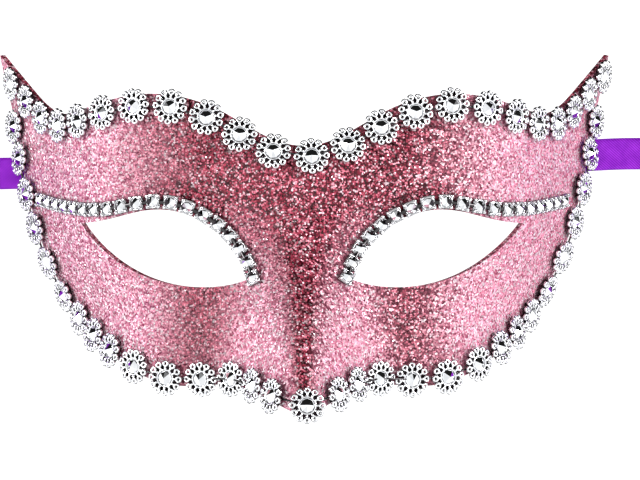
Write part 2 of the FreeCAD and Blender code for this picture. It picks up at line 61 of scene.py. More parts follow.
# ---------------------------------------------------------------------------
# Camera
# ---------------------------------------------------------------------------
CAMERA_LENS = 225.0                 # mm, a long lens, square on to the face
CAMERA_SENSOR = 36.0                # mm
CAMERA_PLACE = (4.8, 0.0, 1170.0)   # u, v, w in mm

camera = bpy.data.objects.new("camera", bpy.data.cameras.new("camera"))
bpy.context.collection.objects.link(camera)
camera.data.lens = CAMERA_LENS
camera.data.sensor_width = CAMERA_SENSOR
camera.data.clip_start = 0.01
camera.location = on_face(*CAMERA_PLACE)
camera.rotation_euler = (LEAN, 0.0, 0.0)
bpy.context.scene.camera = camera


# ---------------------------------------------------------------------------
# Small helpers
# ---------------------------------------------------------------------------
def new_object(name, mesh):
    thing = bpy.data.objects.new(name, mesh)
    bpy.context.collection.objects.link(thing)
    return thing


def mesh_object(name, points, faces, smooth=True):
    mesh = bpy.data.meshes.new(name)
    mesh.from_pydata([tuple(p) for p in points], [], faces)
    mesh.validate()
    for face in mesh.polygons:
        face.use_smooth = smooth
    return new_object(name, mesh)


def finish_with(thing, material):
    thing.data.materials.clear()
    thing.data.materials.append(material)


def soft_step(low, high, value):
    """0 below low and 1 above high, with an eased rise between them."""
    share = min(1.0, max(0.0, (value - low) / (high - low)))
    return share * share * (3.0 - 2.0 * share)


class Nodes:
    """A node tree under construction: add() makes a node, sets its inputs and links sockets."""

    def __init__(self, tree):
        self.tree = tree

    def add(self, kind, settings=None, **inputs):
        node = self.tree.nodes.new(kind)
        for name, value in (settings or {}).items():
            setattr(node, name, value)
        for name, value in inputs.items():
            key = int(name[1:]) if name[0] == "_" else name.replace("_", " ")
            self.join(value, node.inputs[key])
        return node

    def join(self, value, socket):
        if isinstance(value, bpy.types.NodeSocket):
            self.tree.links.new(value, socket)
        elif isinstance(value, bpy.types.Node):
            self.tree.links.new(value.outputs[0], socket)
        else:
            socket.default_value = value


def new_material(name):
    """An empty material, its tree under construction and the shader that it ends in."""
    material = bpy.data.materials.new(name)
    material.use_nodes = True
    material.node_tree.nodes.clear()
    build = Nodes(material.node_tree)
    shader = build.add("ShaderNodeBsdfPrincipled")
    out = build.add("ShaderNodeOutputMaterial")
    build.join(shader.outputs[0], out.inputs[0])
    return material, build, shader


def colour_ramp(build, factor, stops):
    """A colour from a list of (place, colour) stops."""
    ramp = build.add("ShaderNodeValToRGB", Fac=factor)
    while len(ramp.color_ramp.elements) < len(stops):
        ramp.color_ramp.elements.new(0.5)
    for element, (place, colour) in zip(ramp.color_ramp.elements, stops):
        element.position = place
        element.color = (*colour, 1.0)
    return ramp.outputs[0]


def map_range(build, value, low, high, start=0.0, end=1.0, kind="LINEAR"):
    """The value's way from low to high, as a number from start to end."""
    node = build.add("ShaderNodeMapRange", {"interpolation_type": kind}, Value=value)
    for name, number in (("From Min", low), ("From Max", high), ("To Min", start), ("To Max", end)):
        node.inputs[name].default_value = number
    return node.outputs[0]


def mix_colours(build, share, first, second):
    """The first colour where the share is 0, the second where it is 1."""
    return build.add("ShaderNodeMix", {"data_type": "RGBA"}, _0=share, _6=first, _7=second).outputs[2]


def add_bump(build, shader, height, strength, distance):
    bump = build.add("ShaderNodeBump", Height=height, Strength=strength, Distance=distance)
    build.join(bump.outputs[0], shader.inputs["Normal"])


def object_place(build):
    return build.add("ShaderNodeTexCoord").outputs["Object"]


def face_normal(build):
    """Which way the surface faces, in the object's own axes."""
    return build.add("ShaderNodeTexCoord").outputs["Normal"]


# ---------------------------------------------------------------------------
# Materials: pattern scales are in cells or waves per metre, bump distances in metres
# ---------------------------------------------------------------------------
FLAKE_SCALE = 1900.0
FINE_FLAKE_SCALE = 3300.0
# random flake tones; the near-white end stands in for painted glints on the flakes
FLAKE_REDS_AND_GLINTS = [
    (0.00, (0.030, 0.000, 0.003)),
    (0.25, (0.10, 0.002, 0.012)),
    (0.45, (0.30, 0.018, 0.045)),
    (0.65, (0.62, 0.075, 0.135)),
    (0.84, (0.98, 0.30, 0.40)),
    (1.00, (1.0, 0.78, 0.84)),
]
# paler tones, mixed in where the face turns to its sides: a painted sheen
SIDE_SHEEN_PINKS = [
    (0.00, (0.45, 0.07, 0.15)),
    (0.30, (0.80, 0.25, 0.38)),
    (0.65, (1.0, 0.52, 0.66)),
    (1.00, (1.0, 0.95, 0.98)),
]
MIDDLE = (0.5, 0.5, 0.5)            # of a flake's random vector
# near black for the settings' recesses and link bars: painted shade
PAINTED_SHADE_BLACK = (0.018, 0.012, 0.014, 1.0)
# near black for some stone facets: a painted dark reflection
PAINTED_DARK_REFLECTION = (0.02, 0.015, 0.02, 1.0)
OUTWARD = (0.0, -math.sin(LEAN), math.cos(LEAN))


def flake_tones(build, place):
    """Cut foil flakes: each cell has its own red or pink, the palest near white as painted glints,
    darker in the gaps, and paler where the face turns to its sides as a painted sheen. Gives the
    colour and each flake's own random vector."""
    flakes = build.add("ShaderNodeTexVoronoi", Vector=place, Scale=FLAKE_SCALE, Randomness=1.0)
    patches = build.add("ShaderNodeTexNoise", Vector=place, Scale=60.0, Detail=3.0)
    pick = build.add("ShaderNodeSeparateColor", Color=flakes.outputs["Color"]).outputs[0]
    reds_and_glints = colour_ramp(build, pick, FLAKE_REDS_AND_GLINTS)
    sheen_pinks = colour_ramp(build, pick, SIDE_SHEEN_PINKS)
    depth = map_range(build, patches.outputs["Fac"], 0.3, 0.7, 0.85, 1.1)
    gaps = map_range(build, flakes.outputs["Distance"], 0.35, 0.7, 1.05, 0.35)
    level = build.add("ShaderNodeMath", {"operation": "MULTIPLY"}, _0=depth, _1=gaps)
    shaded = build.add("ShaderNodeHueSaturation", Color=reds_and_glints, Value=level)
    # the more the face turns to its sides, the more painted sheen
    turned = build.add("ShaderNodeSeparateXYZ", Vector=face_normal(build))
    sideways = build.add("ShaderNodeMath", {"operation": "ABSOLUTE"}, _0=turned.outputs[0])
    painted_side_sheen = map_range(build, sideways, 0.18, 0.75, 0.0, 0.85)
    return mix_colours(build, painted_side_sheen, shaded, sheen_pinks), flakes.outputs["Color"]


def glitter_material():
    """Rose glitter in clear lacquer: flakes of many reds, each with its own tilt."""
    material, build, shader = new_material("rose_glitter")
    place = object_place(build)
    tones, own = flake_tones(build, place)
    fine = build.add("ShaderNodeTexVoronoi", Vector=place, Scale=FINE_FLAKE_SCALE, Randomness=1.0)
    lean = build.add("ShaderNodeVectorMath", {"operation": "SUBTRACT"}, _0=own, _1=MIDDLE)
    fine_lean = build.add("ShaderNodeVectorMath", {"operation": "SUBTRACT"},
                          _0=fine.outputs["Color"], _1=MIDDLE)
    tilt = build.add("ShaderNodeVectorMath", {"operation": "MULTIPLY_ADD"},
                     _0=fine_lean, _1=(0.5, 0.5, 0.5), _2=lean)
    face = build.add("ShaderNodeNewGeometry").outputs["Normal"]
    total = build.add("ShaderNodeVectorMath", {"operation": "ADD"}, _0=face, _1=tilt)
    unit = build.add("ShaderNodeVectorMath", {"operation": "NORMALIZE"}, _0=total)
    build.join(tones, shader.inputs["Base Color"])
    build.join(unit.outputs[0], shader.inputs["Normal"])
    shader.inputs["Metallic"].default_value = 0.3
    shader.inputs["Roughness"].default_value = 0.25
    return material


def silver_material():
    """Metallised plastic: bright crests with faint moulding ripples, and near-black painted shade in
    the hollows and on the link bars.
    """
    material, build, shader = new_material("bright_silver")
    place = object_place(build)
    ripple = build.add("ShaderNodeTexNoise", Vector=place, Scale=900.0, Detail=2.0)
    tarnish = build.add("ShaderNodeTexNoise", Vector=place, Scale=160.0, Detail=3.0).outputs["Fac"]
    tone = colour_ramp(build, tarnish, [(0.35, (0.80, 0.80, 0.82)), (0.6, (0.95, 0.95, 0.96))])
    # recesses and link bars are darkened towards black: painted shade
    hollow = build.add("ShaderNodeAttribute", {"attribute_name": "hollow"}).outputs["Fac"]
    build.join(mix_colours(build, hollow, tone, PAINTED_SHADE_BLACK), shader.inputs["Base Color"])
    build.join(map_range(build, tarnish, 0.0, 1.0, 0.05, 0.22), shader.inputs["Roughness"])
    add_bump(build, shader, ripple.outputs["Fac"], 0.25, 0.00008)
    shader.inputs["Metallic"].default_value = 1.0
    return material


def stone_material():
    """Mirror-backed acrylic stones: bright facets, and dark ones that carry a painted dark reflection.
    """
    material, build, shader = new_material("clear_stone")
    haze = build.add("ShaderNodeTexNoise", Vector=object_place(build), Scale=400.0,
                     Detail=2.0).outputs["Fac"]
    tone = colour_ramp(build, haze, [(0.35, (0.86, 0.87, 0.89)), (0.65, (0.97, 0.97, 0.98))])
    # upward facets in the listed sectors get a painted dark reflection
    dark_reflection = build.add("ShaderNodeAttribute", {"attribute_name": "dark_reflection"}).outputs["Fac"]
    build.join(mix_colours(build, dark_reflection, tone, PAINTED_DARK_REFLECTION), shader.inputs["Base Color"])
    build.join(map_range(build, haze, 0.0, 1.0, 0.02, 0.07), shader.inputs["Roughness"])
    shader.inputs["Metallic"].default_value = 1.0
    shader.inputs["Coat Weight"].default_value = 0.3
    shader.inputs["Coat Roughness"].default_value = 0.03
    return material


def satin_material():
    """Purple satin: fine diagonal twill on the ribbon's own coordinates, with a soft sheen."""
    material, build, shader = new_material("purple_satin")
    place = build.add("ShaderNodeUVMap", {"uv_map": "weave"}).outputs[0]
    twill = build.add("ShaderNodeTexWave", {"bands_direction": "DIAGONAL"}, Vector=place,
                      Scale=700.0, Distortion=0.6, Detail=2.0)
    threads = build.add("ShaderNodeTexWave", {"bands_direction": "X"}, Vector=place,
                        Scale=1500.0, Distortion=0.3)
    cloud = build.add("ShaderNodeTexNoise", Vector=place, Scale=180.0, Detail=3.0)
    heights = build.add("ShaderNodeMath", {"operation": "ADD"},
                        _0=twill.outputs["Fac"], _1=threads.outputs["Fac"])
    blend = build.add("ShaderNodeMath", {"operation": "MULTIPLY_ADD"},
                      _0=twill.outputs["Fac"], _1=0.45, _2=cloud.outputs["Fac"])
    tone = colour_ramp(build, blend, [
        (0.35, (0.17, 0.006, 0.40)), (0.75, (0.30, 0.012, 0.62)), (1.0, (0.44, 0.04, 0.78))])
    build.join(tone, shader.inputs["Base Color"])
    add_bump(build, shader, heights, 0.35, 0.00005)
    shader.inputs["Roughness"].default_value = 0.42
    shader.inputs["Anisotropic"].default_value = 0.5
    shader.inputs["Specular IOR Level"].default_value = 0.2
    shader.inputs["Sheen Weight"].default_value = 0.1
    shader.inputs["Sheen Roughness"].default_value = 0.4
    return material


def shell_material():
    """White vacuum-formed sheet: matte, with faint orange-peel and a warm cast in patches. The
    glitter wraps over its cut edges, which are the faces not turned to the wearer."""
    material, build, shader = new_material("white_shell")
    place = object_place(build)
    peel = build.add("ShaderNodeTexNoise", Vector=place, Scale=700.0, Detail=3.0)
    cloud = build.add("ShaderNodeTexNoise", Vector=place, Scale=30.0, Detail=4.0)
    tone = colour_ramp(build, cloud.outputs["Fac"], [
        (0.3, (0.80, 0.79, 0.77)), (0.7, (0.88, 0.875, 0.86))])
    outward = build.add("ShaderNodeVectorMath", {"operation": "DOT_PRODUCT"},
                        _0=face_normal(build), _1=OUTWARD)
    wrapped = map_range(build, outward.outputs["Value"], -0.3, -0.2)
    edged = mix_colours(build, wrapped, tone, flake_tones(build, place)[0])
    build.join(edged, shader.inputs["Base Color"])
    add_bump(build, shader, peel.outputs["Fac"], 0.3, 0.0001)
    shader.inputs["Roughness"].default_value = 0.5
    return material


def felt_material():
    """White felt patches: matted fibre."""
    material, build, shader = new_material("white_felt")
    place = object_place(build)
    fibre = build.add("ShaderNodeTexNoise", Vector=place, Scale=1800.0, Detail=5.0, Distortion=1.5)
    cloud = build.add("ShaderNodeTexNoise", Vector=place, Scale=250.0, Detail=3.0)
    tone = colour_ramp(build, cloud.outputs["Fac"], [
        (0.3, (0.74, 0.73, 0.70)), (0.7, (0.86, 0.85, 0.83))])
    build.join(tone, shader.inputs["Base Color"])
    add_bump(build, shader, fibre.outputs["Fac"], 0.7, 0.0003)
    shader.inputs["Roughness"].default_value = 0.95
    shader.inputs["Sheen Weight"].default_value = 0.4
    return material


GLITTER = glitter_material()
SILVER = silver_material()
STONE = stone_material()
SATIN = satin_material()
SHELL = shell_material()
FELT = felt_material()

# ---------------------------------------------------------------------------
# Ribbon ties: each one flat out from under the rim, its put-away length rolled on its edge
# ---------------------------------------------------------------------------
RIBBON_WIDTH = 10.0 * MM
RIBBON_THICK = 0.4 * MM
FLAT_HEIGHT = 0.2 * MM              # of the ribbon's middle where it lies flat
ROLL_HEIGHT = 5.15 * MM             # of its middle where it stands on its edge
EDGE_CLEARANCE = 0.15 * MM          # under the standing edge
ROLL_OUTER = 28.9 * MM              # radius of the outermost turn
ROLL_PITCH = 3.9 * MM               # from one turn to the next
ROLL_TAIL = 26.0 * MM               # from the end of the flat run to the roll's middle line
ROLL_TURNS = 2.6
RISE_PLACE = 0.5                    # of the tail, where the ribbon is on its way up
RISE_HEIGHT = 0.7                   # of the roll's height, there
POINTS_PER_TURN = 24
TWIST_LEAD = 3.0 * MM               # of the flat run that already turns on its edge
TWIST_LENGTH = 20.0 * MM
RIPPLE = 0.25 * MM                  # twice the height of the flat run's waves at its edges
RIPPLE_RATE = 260.0                 # radians per metre
RIPPLE_SEED = 7
FULL_WAVE = 6.28                    # radians
SELVEDGE = 0.05 * MM                # extra thickness at the ribbon's two edges
SELVEDGE_FROM = 0.45                # of the width, from its middle
THINNING = 0.06 * MM                # taken off each side, so that the selvedge stands proud
ACROSS_STEPS = 8
UNDERSIDE_SHIFT = 0.3               # m, between the weave's coordinates on the two sides
HINGES = {joint["child"]: Vector(joint["pos_m"]) for joint in frame["joints"]}
TIES = {
    # side, and the flat run beyond the hinge (outwards, along Y, in mm)
    "right": (1, [(0.0, 0.0), (11.0, 0.6), (23.0, 0.6)]),
    "left": (-1, [(0.0, 0.0), (6.5, -0.3), (14.0, -0.3)]),
}


def tie_route(hand):
    """Control points of one tie, from its fold at the rim to its bare end inside the roll."""
    side, legs = TIES[hand]
    hinge = HINGES[hand + "_tie"]
    points = [Vector((hinge.x + side * out * MM, hinge.y + along * MM, FLAT_HEIGHT))
              for out, along in legs]
    last = points[-1]
    points.append(Vector((last.x + side * ROLL_TAIL * RISE_PLACE, last.y,
                          RISE_HEIGHT * ROLL_HEIGHT)))
    centre = Vector((last.x + side * ROLL_TAIL, last.y - ROLL_OUTER, 0.0))
    for k in range(int(ROLL_TURNS * POINTS_PER_TURN) + 1):
        turn = k / POINTS_PER_TURN
        angle = math.pi / 2 - side * turn * 2 * math.pi
        radius = ROLL_OUTER - ROLL_PITCH * turn
        points.append(centre + Vector((radius * math.cos(angle), radius * math.sin(angle),
                                       ROLL_HEIGHT)))
    return points


def spline_points(name, route):
    """Places along the smooth line whose control points are the route's."""
    curve = bpy.data.curves.new(name, "CURVE")
    curve.dimensions = "3D"
    curve.resolution_u = 8
    line = curve.splines.new("NURBS")
    line.points.add(len(route) - 1)
    for point, place in zip(line.points, route):
        point.co = (place.x, place.y, place.z, 1.0)
    line.order_u = 3
    line.use_endpoint_u = True
    holder = new_object(name, curve)
    bpy.context.view_layer.update()
    shaped = holder.evaluated_get(bpy.context.evaluated_depsgraph_get())
    mesh = bpy.data.meshes.new_from_object(shaped)
    points = [vertex.co.copy() for vertex in mesh.vertices]
    bpy.data.objects.remove(holder)
    bpy.data.meshes.remove(mesh)
    return points


def ribbon_row(point, ahead, side, travelled, upright, phase):
    """One cross-section of a ribbon: (upper place, lower place, share of the width) of each step."""
    flat = Vector((-ahead.y, ahead.x, 0.0)) * side
    tilt = upright * math.pi / 2
    across = flat * math.cos(tilt) + Vector((0, 0, 1)) * math.sin(tilt)
    out = ahead.cross(across).normalized() * side
    height = max(FLAT_HEIGHT, RIBBON_WIDTH / 2 * math.sin(tilt) + EDGE_CLEARANCE)
    centre = Vector((point.x, point.y, height))
    row = []
    for i in range(ACROSS_STEPS + 1):
        share = i / ACROSS_STEPS - 0.5
        wave = RIPPLE * (1 - upright) * math.sin(travelled * RIPPLE_RATE + phase) * share
        selvedge = SELVEDGE if abs(share) > SELVEDGE_FROM else 0.0
        thick = RIBBON_THICK / 2 - THINNING + selvedge
        spot = centre + across * (share * RIBBON_WIDTH) + Vector((0, 0, abs(wave)))
        row.append((spot + out * thick, spot - out * thick, share))
    return row


def ribbon_mesh(name, points, side, twist_from):
    """A satin strip with selvedges along a line, turning from flat to upright outside."""
    phase = random.Random(RIPPLE_SEED).random() * FULL_WAVE
    verts = []
    weave = []
    travelled = 0.0
    for k, point in enumerate(points):
        ahead = points[min(k + 1, len(points) - 1)] - points[max(k - 1, 0)]
        ahead = Vector((ahead.x, ahead.y, 0.0)).normalized()
        if k:
            travelled += (point - points[k - 1]).length
        upright = soft_step(twist_from, twist_from + TWIST_LENGTH, travelled)
        row = ribbon_row(point, ahead, side, travelled, upright, phase)
        verts += [upper for upper, _, _ in row]
        verts += [lower for _, lower, _ in reversed(row)]
        weave += [(share * RIBBON_WIDTH, travelled) for _, _, share in row]
        weave += [(share * RIBBON_WIDTH, travelled + UNDERSIDE_SHIFT) for _, _, share in reversed(row)]
    ring = 2 * (ACROSS_STEPS + 1)
    faces = []
    for k in range(len(points) - 1):
        for i in range(ring):
            j = (i + 1) % ring
            faces.append((k * ring + i, k * ring + j, (k + 1) * ring + j, (k + 1) * ring + i))
    faces.append(tuple(range(ring - 1, -1, -1)))
    faces.append(tuple((len(points) - 1) * ring + i for i in range(ring)))
    ribbon = mesh_object(name, verts, faces)
    recalculate(ribbon)
    layer = ribbon.data.uv_layers.new(name="weave")
    for loop in ribbon.data.loops:
        layer.data[loop.index].uv = weave[loop.vertex_index]
    for face in ribbon.data.polygons:
        if len(face.vertices) > 4:
            face.use_smooth = False
    return ribbon


def recalculate(thing):
    """Turns the faces of a new mesh outwards."""
    mesh = bmesh.new()
    mesh.from_mesh(thing.data)
    bmesh.ops.recalc_face_normals(mesh, faces=mesh.faces)
    mesh.to_mesh(thing.data)
    mesh.free()


for hand, (side, legs) in TIES.items():
    line = spline_points(hand + "_tie_line", tie_route(hand))
    flat_run = legs[-1][0] * MM
    tie = ribbon_mesh(hand + "_satin_tie", line, side, flat_run - TWIST_LEAD)
    finish_with(tie, SATIN)
    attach(tie, hand + "_tie")
    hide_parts(hand + "_ribbon", hand + "_ribbon_roll")


# ---------------------------------------------------------------------------
# Seats: where each stone stands, read from the frame
# ---------------------------------------------------------------------------
MERGE_DISTANCE = 2e-6       # m, between corners of the frame's loose triangles
AXIS_START = Vector((0.1, 0.2, 1.0))
AXIS_ROUNDS = 60            # of the search for the thinnest direction
AXIS_GUARD = 1e-6           # keeps a perfectly flat solid's grid invertible
MM_PER_M = 1000


def islands(node):
    """The separate solids of a node, as lists of points."""
    mesh = bmesh.new()
    mesh.from_mesh(nodes[node].data)
    bmesh.ops.remove_doubles(mesh, verts=mesh.verts, dist=MERGE_DISTANCE)
    seen = set()
    groups = []
    for start in mesh.verts:
        if start.index in seen:
            continue
        stack = [start]
        seen.add(start.index)
        group = []
        while stack:
            vertex = stack.pop()
            group.append(vertex.co.copy())
            for edge in vertex.link_edges:
                other = edge.other_vert(vertex)
                if other.index not in seen:
                    seen.add(other.index)
                    stack.append(other)
        groups.append(group)
    mesh.free()
    return groups


def thin_axis(points, centre):
    """The direction in which a flat round solid is thinnest, pointing out of the mask."""
    spread = [[0.0] * 3 for _ in range(3)]
    for p in points:
        d = (p - centre) * MM_PER_M
        for i in range(3):
            for j in range(3):
                spread[i][j] += d[i] * d[j]
    grid = Matrix(spread)
    inverse = (grid + Matrix.Identity(3) * AXIS_GUARD).inverted()
    axis = AXIS_START
    for _ in range(AXIS_ROUNDS):
        axis = (inverse @ axis).normalized()
    return axis if axis.z > 0 else -axis


def seats(node, stone_base, start_key):
    """(place, out, along) of each setting, in order along the strip."""
    found = []
    for points in islands(node):
        centre = sum(points, Vector()) / len(points)
        out = thin_axis(points, centre)
        low = min((p - centre).dot(out) for p in points)
        found.append((centre + out * (low - stone_base * MM), out))
    ordered = [min(found, key=lambda item: start_key(item[0]))]
    rest = [item for item in found if item is not ordered[0]]
    while rest:
        near = min(rest, key=lambda item: (item[0] - ordered[-1][0]).length)
        rest = [item for item in rest if item is not near]
        ordered.append(near)
    result = []
    for k, (place, out) in enumerate(ordered):
        ahead = ordered[min(k + 1, len(ordered) - 1)][0] - ordered[max(k - 1, 0)][0]
        across = out.cross(ahead).normalized()
        result.append((place, out, across.cross(out).normalized()))
    return result


FLOWER_STONE_BASE = 1.55    # mm, of a stone's back above its setting's seat
CUP_STONE_BASE = 1.25
# the first seat has the lowest key: the nose end of each chain, the left end of the top trim and the
# top of the left wing for the side trim
TOP_SEATS = seats("top_trim_stones", FLOWER_STONE_BASE, lambda p: p.x)
SIDE_SEATS = seats("side_trim_stones", FLOWER_STONE_BASE, lambda p: (p.x > 0) * 1.0 - p.y)
CHAIN_SEATS = {
    "right": seats("right_eye_chain_stones", CUP_STONE_BASE, lambda p: p.x),
    "left": seats("left_eye_chain_stones", CUP_STONE_BASE, lambda p: -p.x),
}


def seat_points(name, places):
    """A line of points, one at each seat, that carries how the setting there is turned."""
    mesh = bpy.data.meshes.new(name)
    mesh.from_pydata([tuple(p) for p, _, _ in places],
                     [(k, k + 1) for k in range(len(places) - 1)], [])
    turn = mesh.attributes.new("turn", "FLOAT_VECTOR", "POINT")
    outward = mesh.attributes.new("outward", "FLOAT_VECTOR", "POINT")
    for k, (_, out, along) in enumerate(places):
        basis = Matrix((along, out.cross(along), out)).transposed()
        turn.data[k].vector = basis.to_euler("XYZ")
        outward.data[k].vector = out
    return new_object(name, mesh)


# ---------------------------------------------------------------------------
# Geometry Nodes: a strip of settings on their seats, with its link bar
# ---------------------------------------------------------------------------
WOBBLE = Vector((1.0, 1.0, 1.6))        # how a setting's lean is shared between its axes
BAR_SIDES = 8
BAR_SHADE = 0.94                     # how far the link bar is darkened, as painted shade between the settings


def tree_with_inputs(name, sockets):
    """An empty tree that takes geometry and the named inputs, and gives geometry."""
    tree = bpy.data.node_groups.new(name, "GeometryNodeTree")
    tree.interface.new_socket("Geometry", in_out="INPUT", socket_type="NodeSocketGeometry")
    for label, kind in sockets:
        tree.interface.new_socket(label, in_out="INPUT", socket_type=kind)
    tree.interface.new_socket("Geometry", in_out="OUTPUT", socket_type="NodeSocketGeometry")
    return tree


def run_tree(thing, tree, name, values):
    """The tree's result on an object, as a plain mesh piece."""
    modifier = thing.modifiers.new("build", "NODES")
    modifier.node_group = tree
    for item in tree.interface.items_tree:
        if item.in_out == "INPUT" and item.name in values:
            modifier[item.identifier] = values[item.name]
    bpy.context.view_layer.update()
    shaped = thing.evaluated_get(bpy.context.evaluated_depsgraph_get())
    mesh = bpy.data.meshes.new_from_object(shaped)
    mesh.name = name
    bpy.data.objects.remove(thing)
    return new_object(name, mesh)


def spread_on_seats(build, seat_geometry, piece, tilt, seed):
    """The piece on each seat, turned as the seat says and leaning a little at random."""
    turn = build.add("GeometryNodeInputNamedAttribute", {"data_type": "FLOAT_VECTOR"}, Name="turn")
    base = build.add("FunctionNodeEulerToRotation", _0=turn.outputs[0])
    low = build.add("ShaderNodeVectorMath", {"operation": "SCALE"})
    low.inputs[0].default_value = -WOBBLE
    high = build.add("ShaderNodeVectorMath", {"operation": "SCALE"})
    high.inputs[0].default_value = WOBBLE
    build.join(tilt, low.inputs["Scale"])
    build.join(tilt, high.inputs["Scale"])
    chance = build.add("FunctionNodeRandomValue", {"data_type": "FLOAT_VECTOR"}, _0=low, _1=high)
    build.join(seed, chance.inputs["Seed"])
    wobble = build.add("FunctionNodeEulerToRotation", _0=chance.outputs[0])
    turned = build.add("FunctionNodeRotateRotation", {"rotation_space": "LOCAL"}, _0=base, _1=wobble)
    return build.add("GeometryNodeInstanceOnPoints", Points=seat_geometry, Instance=piece,
                     Rotation=turned)


def flower_strip_tree():
    """Flowers: a ring of petals round a bezel, on every seat, joined by a bar."""
    tree = tree_with_inputs("flower_strip", [
        ("Petal", "NodeSocketObject"), ("Bezel", "NodeSocketObject"),
        ("Petals", "NodeSocketInt"), ("Bar radius", "NodeSocketFloat"),
        ("Bar rise", "NodeSocketFloat"), ("Tilt", "NodeSocketFloat"), ("Seed", "NodeSocketInt"),
        ("Finish", "NodeSocketMaterial")])
    build = Nodes(tree)
    given = build.add("NodeGroupInput").outputs
    petal = build.add("GeometryNodeObjectInfo", _0=given["Petal"])
    bezel = build.add("GeometryNodeObjectInfo", _0=given["Bezel"])
    ring = build.add("GeometryNodeMeshLine", Count=given["Petals"])
    ring.inputs["Offset"].default_value = (0.0, 0.0, 0.0)
    index = build.add("GeometryNodeInputIndex")
    share = build.add("ShaderNodeMath", {"operation": "DIVIDE"}, _0=index, _1=given["Petals"])
    angle = build.add("ShaderNodeMath", {"operation": "MULTIPLY"}, _0=share, _1=2 * math.pi)
    spin = build.add("ShaderNodeCombineXYZ", Z=angle)
    spin_turn = build.add("FunctionNodeEulerToRotation", _0=spin)
    petals = build.add("GeometryNodeInstanceOnPoints", Points=ring,
                       Instance=petal.outputs["Geometry"], Rotation=spin_turn)
    flower = build.add("GeometryNodeJoinGeometry")
    build.join(petals.outputs[0], flower.inputs[0])
    build.join(bezel.outputs["Geometry"], flower.inputs[0])
    whole = build.add("GeometryNodeRealizeInstances", _0=flower)
    strip = spread_on_seats(build, given["Geometry"], whole, given["Tilt"], given["Seed"])
    finish_strip(build, given, with_link_bar(build, given, strip))
    return tree


def setting_strip_tree(name, barred):
    """One setting or stone on every seat, joined by a bar if it is barred."""
    bar_inputs = [("Bar radius", "NodeSocketFloat"), ("Bar rise", "NodeSocketFloat")]
    tree = tree_with_inputs(name, [("Setting", "NodeSocketObject")] + bar_inputs * barred + [
        ("Tilt", "NodeSocketFloat"), ("Seed", "NodeSocketInt"), ("Finish", "NodeSocketMaterial")])
    build = Nodes(tree)
    given = build.add("NodeGroupInput").outputs
    setting = build.add("GeometryNodeObjectInfo", _0=given["Setting"])
    strip = spread_on_seats(build, given["Geometry"], setting.outputs["Geometry"],
                            given["Tilt"], given["Seed"])
    finish_strip(build, given, with_link_bar(build, given, strip) if barred else strip)
    return tree


def with_link_bar(build, given, strip):
    """The strip joined to a round bar that runs from seat to seat, just above the face; the bar is
    darkened almost to black, as painted shade between the settings.
    """
    outward = build.add("GeometryNodeInputNamedAttribute", {"data_type": "FLOAT_VECTOR"},
                        Name="outward")
    lift = build.add("ShaderNodeVectorMath", {"operation": "SCALE"}, _0=outward.outputs[0])
    build.join(given["Bar rise"], lift.inputs["Scale"])
    raised = build.add("GeometryNodeSetPosition", Geometry=given["Geometry"], Offset=lift)
    line = build.add("GeometryNodeMeshToCurve", Mesh=raised)
    section = build.add("GeometryNodeCurvePrimitiveCircle", Resolution=BAR_SIDES)
    build.join(given["Bar radius"], section.inputs["Radius"])
    bar = build.add("GeometryNodeCurveToMesh", Curve=line, Profile_Curve=section.outputs[0])
    bar.inputs["Fill Caps"].default_value = True
    # the bar is darkened almost to black: painted shade
    shaded_bar = build.add("GeometryNodeStoreNamedAttribute", {"data_type": "FLOAT", "domain": "POINT"},
                     Geometry=bar, Name="hollow", Value=BAR_SHADE)
    both = build.add("GeometryNodeJoinGeometry")
    build.join(strip.outputs[0], both.inputs[0])
    build.join(shaded_bar.outputs[0], both.inputs[0])
    return both


def finish_strip(build, given, strip):
    """Makes the strip real geometry in its finish, and the tree's result."""
    real = build.add("GeometryNodeRealizeInstances", _0=strip)
    done = build.add("GeometryNodeSetMaterial", Geometry=real, Material=given["Finish"])
    out = build.add("NodeGroupOutput")
    build.join(done.outputs[0], out.inputs[0])


FLOWER_TREE = flower_strip_tree()
CUP_TREE = setting_strip_tree("cup_strip", True)
STONE_TREE = setting_strip_tree("stone_strip", False)


# ---------------------------------------------------------------------------
# The settings themselves, in millimetres about their own seat
# ---------------------------------------------------------------------------
def tube_loop(points, radius, sides, lift):
    """A closed rounded wire through points, as vertices and faces: radius across, lift up."""
    count = len(points)
    verts = []
    faces = []
    for k in range(count):
        before = points[k - 1]
        after = points[(k + 1) % count]
        ahead = (after - before).normalized()
        side = Vector((ahead.y, -ahead.x, 0.0)).normalized()
        for i in range(sides):
            angle = 2 * math.pi * i / sides
            verts.append(points[k] + side * radius * math.cos(angle)
                         + Vector((0, 0, lift * math.sin(angle))))
    for k in range(count):
        for i in range(sides):
            a = k * sides + i
            b = k * sides + (i + 1) % sides
            c = ((k + 1) % count) * sides + (i + 1) % sides
            d = ((k + 1) % count) * sides + i
            faces.append((a, b, c, d))
    return verts, faces


def small_bead(centre, radius, rings, sides):
    """A closed ball, as vertices and faces."""
    verts = [centre + Vector((0, 0, radius))]
    faces = []
    for r in range(1, rings):
        polar = math.pi * r / rings
        for i in range(sides):
            angle = 2 * math.pi * i / sides
            verts.append(centre + Vector((radius * math.sin(polar) * math.cos(angle),
                                          radius * math.sin(polar) * math.sin(angle),
                                          radius * math.cos(polar))))
    verts.append(centre - Vector((0, 0, radius)))
    for i in range(sides):
        j = (i + 1) % sides
        faces.append((0, 1 + i, 1 + j))
        for r in range(rings - 2):
            a = 1 + r * sides
            faces.append((a + i, a + sides + i, a + sides + j, a + j))
        a = 1 + (rings - 2) * sides
        faces.append((a + i, len(verts) - 1, a + j))
    return verts, faces


